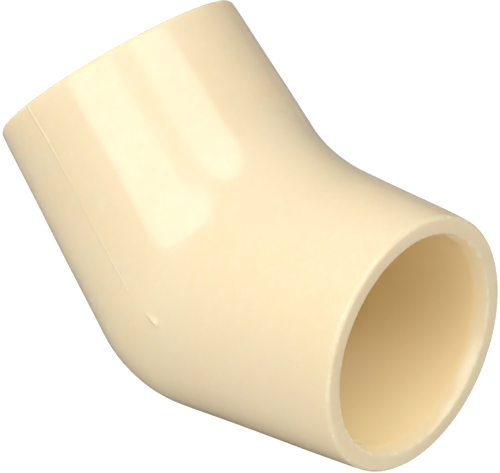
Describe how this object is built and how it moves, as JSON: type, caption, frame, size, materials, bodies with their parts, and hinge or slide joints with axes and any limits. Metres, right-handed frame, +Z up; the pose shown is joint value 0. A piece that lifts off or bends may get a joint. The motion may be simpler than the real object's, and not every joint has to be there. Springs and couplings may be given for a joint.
{
  "type": "45 degree slip elbow",
  "caption": "Moulded plastic 45 degree elbow with a plain slip socket at each end, pipe stops inside and a chamfered lead-in at each mouth.",
  "frame": {"origin": "centre of the lower socket's pipe stop, where the end of the pipe seats", "axes": "+X out of the lower socket along its axis, +Z up, and the bend lies in the XZ plane; the upper socket points up and back, 45 degrees from straight"},
  "size_m": [0.05, 0.0292, 0.0408],
  "materials": {
    "cream_plastic": "smooth moulded gloss"
  },
  "bodies": {
    "root": {"elbow_body": "cream_plastic"}
  },
  "joints": []
}
